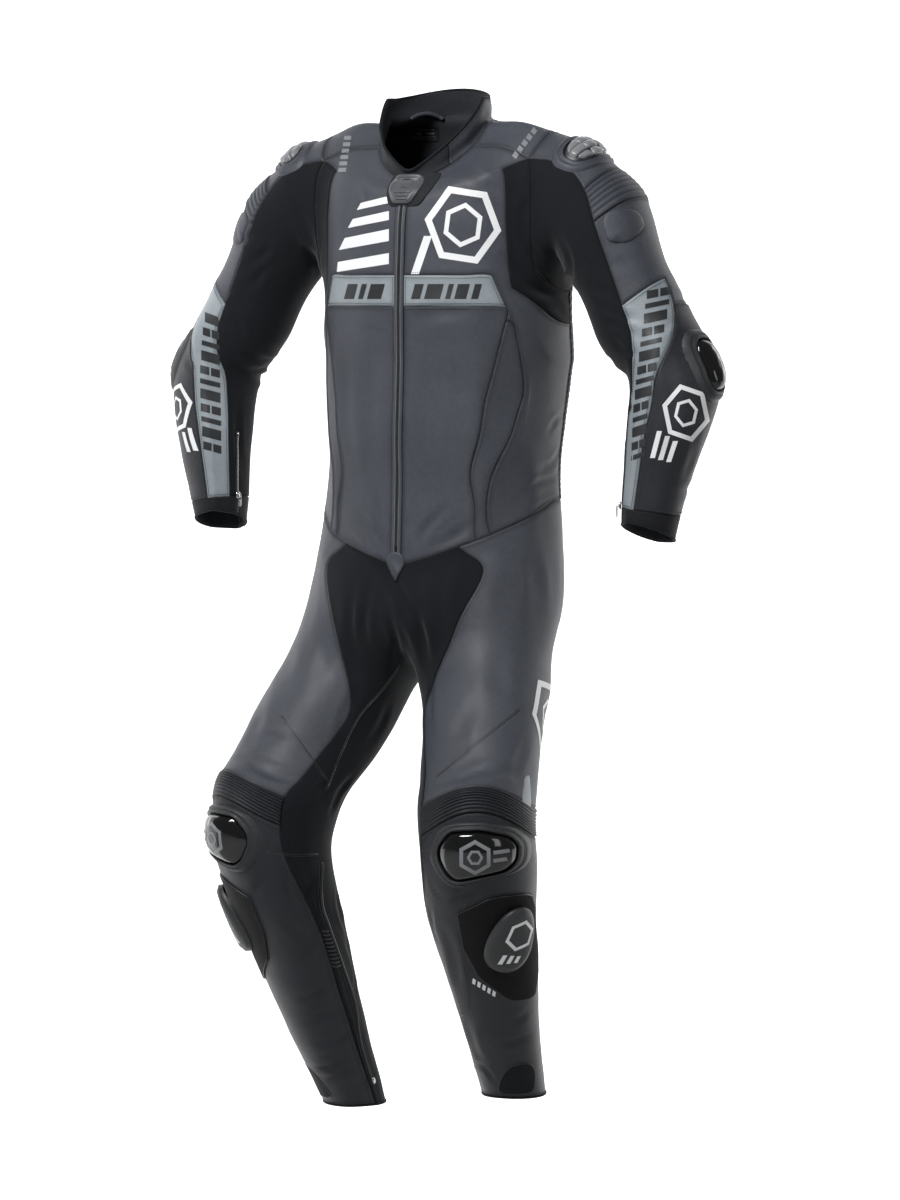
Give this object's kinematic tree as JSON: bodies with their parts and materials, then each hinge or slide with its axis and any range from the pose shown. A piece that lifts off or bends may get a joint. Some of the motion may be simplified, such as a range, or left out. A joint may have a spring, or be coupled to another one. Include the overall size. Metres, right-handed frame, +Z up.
{
  "type": "motorcycle race suit",
  "caption": "One-piece leather motorcycle race suit, filled out as worn, with stretch panels, ribbed knees and shoulders, and hard caps at shoulders, elbows and knees.",
  "frame": {"origin": "middle of the neck opening at shoulder height, where the wearer carries the suit", "axes": "+Z up, the suit faces -Y, the wearer's left side is +X"},
  "size_m": [0.8655, 0.4247, 1.4246],
  "materials": {
    "leather": "grained dark grey cowhide, satin",
    "dark_leather": "grained charcoal cowhide, satin",
    "silver_leather": "silver grey coated leather, low sheen",
    "stretch": "matt black stretch weave",
    "ribbed_stretch": "matt black ribbed stretch",
    "cuff_stretch": "matt black neoprene",
    "zip_tape": "black woven tape",
    "label_cloth": "black woven label, blank",
    "loop_cord": "dark grey braid",
    "grey_plastic": "satin grey moulding",
    "gloss_plastic": "glossy black moulding",
    "puck_plastic": "satin charcoal moulding",
    "hook_pile": "matt black hook pile",
    "zip_metal": "polished zip metal"
  },
  "bodies": {
    "suit": {"back": "leather", "chest_band_left": "silver_leather", "chest_band_right": "silver_leather", "chest_left": "leather", "chest_right": "leather", "collar_back": "leather", "collar_front": "stretch", "crotch": "stretch", "cuff_left": "cuff_stretch", "cuff_right": "cuff_stretch", "cuff_slider_left": "zip_metal", "cuff_slider_right": "zip_metal", "elbow_cup_left": "gloss_plastic", "elbow_cup_right": "gloss_plastic", "forearm_left": "dark_leather", "forearm_right": "dark_leather", "forearm_strip_left": "silver_leather", "forearm_strip_right": "silver_leather", "front_left": "leather", "front_right": "leather", "hanging_loop": "loop_cord", "inner_sleeve_left": "stretch", "inner_sleeve_right": "stretch", "knee_cup_left": "gloss_plastic", "knee_cup_right": "gloss_plastic", "knee_puck_left": "puck_plastic", "knee_puck_right": "puck_plastic", "knee_ribs_left": "dark_leather", "knee_ribs_right": "dark_leather", "knee_ring_left": "dark_leather", "knee_ring_right": "dark_leather", "label": "label_cloth", "neck_badge": "grey_plastic", "neck_flap": "stretch", "seat": "leather", "shin_left": "dark_leather", "shin_patch_left": "hook_pile", "shin_patch_right": "hook_pile", "shin_right": "dark_leather", "shoulder_cup_left": "grey_plastic", "shoulder_cup_right": "grey_plastic", "shoulder_left": "leather", "shoulder_ribs_left": "leather", "shoulder_ribs_right": "leather", "shoulder_right": "leather", "side_strip_left": "ribbed_stretch", "side_strip_right": "ribbed_stretch", "thigh_left": "leather", "thigh_right": "leather", "underarm_left": "stretch", "underarm_right": "stretch", "upper_arm_left": "leather", "upper_arm_right": "leather", "waist_inset_left": "leather", "waist_inset_right": "leather", "zip": "zip_tape", "zip_cover": "leather"},
    "left_pull": {"cuff_pull_left": "zip_metal"},
    "right_pull": {"cuff_pull_right": "zip_metal"}
  },
  "joints": [
    {"name": "left_pull_swing", "type": "hinge", "parent": "suit", "child": "left_pull", "pos_m": [0.30211, -0.07188, -0.4848], "axis": [-0.3401, 0.9404, 0], "range_deg": [0, 80]},
    {"name": "right_pull_swing", "type": "hinge", "parent": "suit", "child": "right_pull", "pos_m": [-0.30211, -0.07188, -0.4848], "axis": [-0.3401, -0.9404, 0], "range_deg": [0, 80]}
  ]
}
